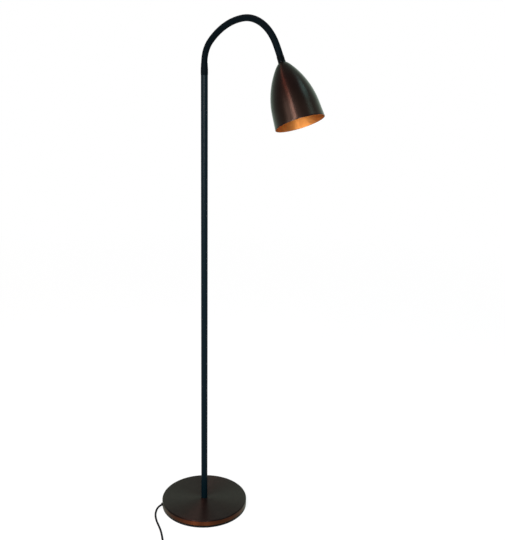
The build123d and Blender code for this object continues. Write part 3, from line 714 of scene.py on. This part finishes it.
def inward(line, distance):
    """The line moved towards the axis by a distance, square to itself. Its first point goes to
    that depth, under the flat top."""
    along = np.gradient(line, axis=0)
    along /= np.linalg.norm(along, axis=1)[:, None]
    moved = line + np.stack([-along[:, 1], along[:, 0]], 1) * distance
    moved[0, 1] = distance
    return moved


line = bell_line()
bronze_outline = np.concatenate([
    line, RIM_FOLD + [RIM_RADIUS, SHADE_LENGTH], inward(line, BRONZE_DEPTH)[::-1],
    [(HOLE_RADIUS, BRONZE_DEPTH), (HOLE_RADIUS, 0.0)],
])
gold_outline = np.concatenate([
    inward(line, GOLD_DEPTH), [(RIM_RADIUS - GOLD_DEPTH, SHADE_LENGTH)], inward(line, SHADE_WALL)[::-1],
    [(HOLE_RADIUS, SHADE_WALL), (HOLE_RADIUS, GOLD_DEPTH)],
])
print("outline points", len(bronze_outline), "bronze", len(gold_outline), "gold")

# %% Skins of the shade
# Colour by depth along the shade, in shares of SHADE_LENGTH. The first stops are black for the ring and step.
# Below them the bronze turns from dark red to a lighter brown towards the rim: partly the oxide's own change,
# partly painted reflection that makes the mirrored stripe of light dim near the top and bright near the rim.
SHADE_COLOURS_AND_PAINTED_REFLECTION = [
    (0.0, "#040506"), (0.028, "#040506"), (0.034, "#140a08"), (0.35, "#190c0a"), (0.65, "#1c120e"),
    (1.0, "#261b16"),
]


def head_matrix():
    """Frame at the end of the neck, with Z out of the shade's mouth and X along the row's Y."""
    z = np.array([math.sin(HEAD_HEADING), 0, math.cos(HEAD_HEADING)])
    x = np.array([0.0, 1.0, 0.0])
    turn = Matrix(np.stack([x, np.cross(z, x), z], 1).tolist()).to_4x4()
    return Matrix.Translation((HEAD_POINT * MM).tolist()) @ turn


def satin_gold(place):
    """Gold lacquer inside the shade: satin, with the spun marks in its gloss and clouds 9 mm
    across in its colour."""
    material, tree, shader = new_material("satin_gold_lacquer", Metallic=1.0)
    local, reach, height = turned_frame(tree, place)
    cloud = add_node(tree, "TexNoise", Vector=local, Scale=1 / (9 * MM), Detail=4.0)
    tone = add_node(
        tree, "MixRGB", Fac=cloud.outputs["Fac"], Color1=linear("#9a5f2b"), Color2=linear("#bd8044")
    )
    marks = spun_marks(tree, reach, height, GOLD_MARK_SPACING)
    join_look(
        tree, shader, gloss=(marks, 0.4, 0.55), relief=(marks, 0.15, 0.03), colour=tone.outputs["Color"]
    )
    return material


head_place = head_matrix()
shade_bronze = oxide_bronze("oxide_bronze_shade_with_painted_reflection", head_place, SHADE_LENGTH, SHADE_COLOURS_AND_PAINTED_REFLECTION)
gold = satin_gold(head_place)
for name, outline, finish in (
    ("shade_bronze_skin", bronze_outline, shade_bronze), ("shade_gold_skin", gold_outline, gold),
):
    piece = give(turned_piece(name, outline * MM, TURNED_SIDES, head_place), finish)
    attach(piece, "head")
    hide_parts("shade")
rim_centre = head_place @ Vector((0, 0, SHADE_LENGTH * MM))
print("shade rim at", [round(v, 4) for v in rim_centre])

# %% [markdown]
# ## Small pieces
# The hidden hardware keeps the model's solids. Each gets the finish of the real thing: zinc
# plate on steel, rolled brass, raw iron, moulded plastic, opal glass.

# %% Finishes of the small pieces


def plated(name, hex_colour, low, high, cloud_mm):
    """Plated or rolled metal whose gloss and relief change in the same clouds, as a plating bath
    leaves it."""
    return grained(
        name, (cloud_mm, 4.0), (low, high), (cloud_mm, 4.0), (0.15, 0.03),
        Base_Color=linear(hex_colour), Metallic=1.0,
    )


def spark_plastic(name, hex_colour, low, high):
    """Plastic from a spark-eroded mould: its grain of 0.5 mm shows in bump and gloss."""
    return grained(
        name, (0.5, 2.0), (low, high), (0.5, 2.0), (0.35, 0.06),
        Base_Color=linear(hex_colour), Specular_IOR_Level=0.4,
    )


def wound_steel():
    """Wound steel strip, as bump. Its real turns are 3 mm apart. The sleeve hides the hose, so
    they are only hinted at: a wave texture's bands are pi / 10 of 1 / Scale apart, here 19 mm."""
    material, tree, shader = new_material(
        "wound_steel_hose", Base_Color=linear("#9a9a98"), Metallic=1.0, Roughness=0.4
    )
    place = add_node(tree, "TexCoord").outputs["Object"]
    strip = add_node(tree, "TexWave", Vector=place, Scale=1 / (60 * MM), Distortion=1.0)
    join_look(tree, shader, relief=(strip.outputs["Fac"], 0.6, 0.4))
    return material


def raw_iron():
    """Sand-cast iron: sand grain of 1.2 mm as bump, and rust-brown clouds in the colour."""
    material, tree, shader = new_material("raw_cast_iron", Metallic=0.6, Roughness=0.75)
    place = add_node(tree, "TexCoord").outputs["Object"]
    cloud = add_node(tree, "TexNoise", Vector=place, Scale=1 / (25 * MM), Detail=4.0)
    tone = add_node(
        tree, "MixRGB", Fac=cloud.outputs["Fac"], Color1=linear("#3a3a3c"), Color2=linear("#4a3a30")
    )
    sand = add_node(tree, "TexNoise", Vector=place, Scale=1 / (1.2 * MM), Detail=3.0)
    join_look(tree, shader, relief=(sand.outputs["Fac"], 0.6, 0.3), colour=tone.outputs["Color"])
    return material


def opal_glass():
    """Opal glass: milky, with light scattered in its wall, and a glossy skin."""
    material, tree, shader = new_material(
        "opal_glass_bulb", Base_Color=linear("#f2efe8"), Subsurface_Weight=0.3,
        Subsurface_Scale=3 * MM, IOR=1.5,
    )
    place = add_node(tree, "TexCoord").outputs["Object"]
    flow = add_node(tree, "TexNoise", Vector=place, Scale=1 / (10 * MM), Detail=1.0)
    join_look(tree, shader, gloss=(flow.outputs["Fac"], 0.08, 0.16))
    return material


hose_steel, iron, opal = wound_steel(), raw_iron(), opal_glass()
print("made", hose_steel.name, iron.name, opal.name)

# %% Dress the small pieces
FINISHES = {
    "iron": iron,
    "plain_steel": plated("zinc_plated_steel", "#a8aaa9", 0.3, 0.5, 3),
    "thread_brass": plated("rolled_brass", "#c8a860", 0.25, 0.4, 4),
    "pin_metal": plated("nickel_plated_pins", "#c0bdb4", 0.15, 0.3, 3),
    "bulb_metal": plated("rolled_aluminium_cap", "#c6c6c4", 0.25, 0.4, 4),
    "black_metal": plated("black_oxide_ferrule", "#040607", 0.45, 0.6, 4),
    "lead_plastic": spark_plastic("lead_insulation", "#d8d6cc", 0.45, 0.6),
    "holder_plastic": spark_plastic("moulded_holder", "#141414", 0.4, 0.55),
    "switch_plastic": spark_plastic("moulded_switch", "#101112", 0.4, 0.55),
    "rocker_plastic": spark_plastic("polished_rocker", "#0c0c0d", 0.12, 0.2),
    "plug_plastic": spark_plastic("moulded_plug", "#101112", 0.45, 0.6),
    "relief_rubber": relief_rubber,
    "bulb_glass": opal,
}
dressed = 0
for row in frame["record"]["subparts"]:
    is_hose = row["node"].startswith("neck_hose_")
    finish = hose_steel if is_hose else FINISHES.get(row["material_slot"])
    if finish is not None:
        give(nodes[row["node"]], finish)
        dressed += 1
print("nodes with a small-piece finish", dressed)

# %% [markdown]
# ## Floor and world
# The photograph has a white ground. The floor is a pale matt sheet: what the camera, gloss and
# glass see of it is mostly its own white, and the rest takes the lamp's soft shadow. The world
# is white in the same way where it is seen, and lights the lamp more weakly.

# %% Floor and world
FLOOR_SIZE = 60.0
NEAR_SHARE = 0.85
NEAR_DISTANCE, FADE_DISTANCE = 0.4, 3.0
WORLD_STRENGTH = 0.6
PALE, WHITE = (0.95, 0.95, 0.95, 1), (1, 1, 1, 1)


def seen_directly(tree):
    """Socket that is 1 for camera, glossy and transmission rays, and 0 for light's own way."""
    path = add_node(tree, "LightPath").outputs
    seen = path["Is Camera Ray"]
    for ray in ("Is Glossy Ray", "Is Transmission Ray"):
        seen = add_node(tree, "Math", {"operation": "MAXIMUM"}, i0=seen, i1=path[ray]).outputs[0]
    return seen


def pale_floor():
    """Wide sheet just under the lamp. The share of its own plain white grows from NEAR_SHARE
    under the lamp to 1 at FADE_DISTANCE, so that it meets the white world without a line."""
    half = FLOOR_SIZE / 2
    corners = [(-half, -half, 0), (half, -half, 0), (half, half, 0), (-half, half, 0)]
    mesh = bpy.data.meshes.new("floor")
    mesh.from_pydata(corners, [], [(0, 1, 2, 3)])
    floor = bpy.data.objects.new("floor", mesh)
    bpy.context.collection.objects.link(floor)
    material, tree, shader = new_material("white_floor", Base_Color=PALE, Roughness=0.9)
    own = add_node(tree, "Emission", Color=WHITE, Strength=1.0)
    place = add_node(tree, "TexCoord").outputs["Object"]
    away = add_node(tree, "VectorMath", {"operation": "LENGTH"}, i0=place).outputs["Value"]
    share = add_node(
        tree, "MapRange", i0=away, i1=NEAR_DISTANCE, i2=FADE_DISTANCE, i3=NEAR_SHARE, i4=1.0
    )
    seen = add_node(
        tree, "Math", {"operation": "MULTIPLY"}, i0=seen_directly(tree), i1=share.outputs["Result"]
    )
    mix = add_node(tree, "MixShader", Fac=seen.outputs[0], i1=shader.outputs[0], i2=own.outputs[0])
    out = next(n for n in tree.nodes if n.type == "OUTPUT_MATERIAL")
    tree.links.new(mix.outputs[0], out.inputs["Surface"])
    give(floor, material)


def white_world(fill):
    """World that is white where it is seen and lights the scene at the given strength."""
    world = bpy.data.worlds.new("studio")
    bpy.context.scene.world = world
    world.use_nodes = True
    tree = world.node_tree
    background = next(n for n in tree.nodes if n.type == "BACKGROUND")
    background.inputs["Color"].default_value = WHITE
    strength = add_node(tree, "MapRange", i0=seen_directly(tree), i3=fill, i4=1.0)
    tree.links.new(strength.outputs["Result"], background.inputs["Strength"])


bpy.context.scene.view_settings.view_transform = "Standard"
pale_floor()
white_world(WORLD_STRENGTH)
print("floor", FLOOR_SIZE, "m wide, world", WORLD_STRENGTH)

# %% [markdown]
# ## Lamps
# Glossy black pieces show little but the lamps that they mirror, so each lamp has the shape of
# the light that it leaves on them. A long reddish bar hangs under the ceiling at the left and
# warms the shade and the base. A tall box at the front left draws the light line along pole and
# neck, and a low one in front lights the gold. A box at the left fills that side, and a cool
# one, high at the right, puts the grey-green light there.

# %% Lamps


def soft_box(name, place, size, watts, colour=(1, 1, 1), target=(0, 0, 1.0), to_camera=False):
    """Area lamp that faces the target. place and target are metres (towards the camera, to its
    right, up) from the lamp's foot. The first side of size lies level, or points towards the
    camera where to_camera is set, and the second is square to it."""
    ahead = CAMERA_PLACE * [1, 1, 0] / np.linalg.norm(CAMERA_PLACE[:2])
    stage = np.stack([ahead, [-ahead[1], ahead[0], 0], [0, 0, 1]])
    here, there = np.array(place) @ stage, np.array(target) @ stage
    back = (here - there) / np.linalg.norm(here - there)
    first = ahead if to_camera else np.cross([0, 0, 1], back)
    x = first - back * (first @ back)
    x /= np.linalg.norm(x)
    data = bpy.data.lights.new(name, "AREA")
    data.shape = "RECTANGLE"
    data.size, data.size_y = size
    data.energy = watts
    data.color = colour
    lamp = bpy.data.objects.new(name, data)
    bpy.context.collection.objects.link(lamp)
    turn = Matrix(np.stack([x, np.cross(back, x), back], 1).tolist()).to_4x4()
    lamp.matrix_world = Matrix.Translation(here.tolist()) @ turn
    return lamp


lamps = [
    soft_box("ceiling_bar", (0.9, -1.2, 3.0), (3.8, 0.22), 34.0, (1.0, 0.42, 0.3), to_camera=True),
    soft_box("front_box", (2.45, -1.14, 1.6), (0.4, 2.7), 104.0, target=(0.2, 0.15, 0.8)),
    soft_box("low_box", (2.47, 0.3, 1.0), (0.35, 1.0), 38.0),
    soft_box("left_box", (1.64, -1.76, 1.25), (0.7, 1.9), 22.0),
    soft_box("right_box", (0.4, 2.0, 3.7), (1.3, 0.9), 40.0, (0.35, 0.9, 1.0)),
]
print("lamps", [lamp.name for lamp in lamps])
